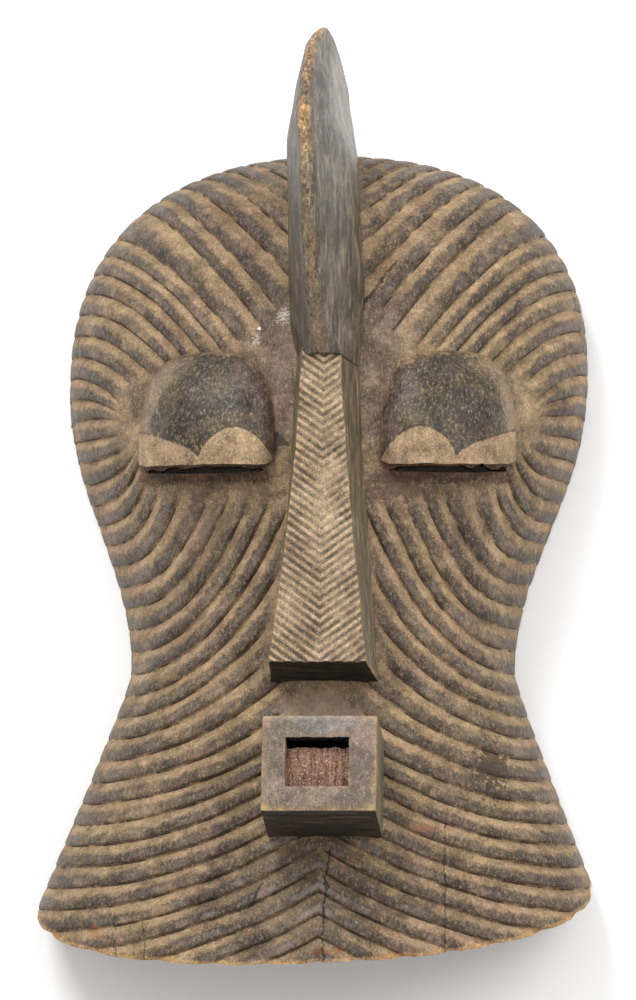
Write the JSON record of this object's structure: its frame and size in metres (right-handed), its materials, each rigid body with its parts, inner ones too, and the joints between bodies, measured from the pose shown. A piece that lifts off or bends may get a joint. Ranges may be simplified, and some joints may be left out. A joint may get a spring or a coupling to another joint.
{
  "type": "carved wooden face mask",
  "caption": "Hollow carved wooden mask with a tall crest, domed slit eyes, long nose, square mouth and curved grooves, open at the back for the wearer's head.",
  "frame": {"origin": "centre of the bounding box in plan, on the surface that the rim of the hollow back lies on", "axes": "+Z out of the face, +Y from the chin towards the crest, +X to the right of a viewer facing the mask"},
  "size_m": [0.3208, 0.5616, 0.187],
  "materials": {
    "wood": "dark worn carved hardwood, satin on the high places"
  },
  "bodies": {
    "root": {"mask": "wood"}
  },
  "joints": []
}
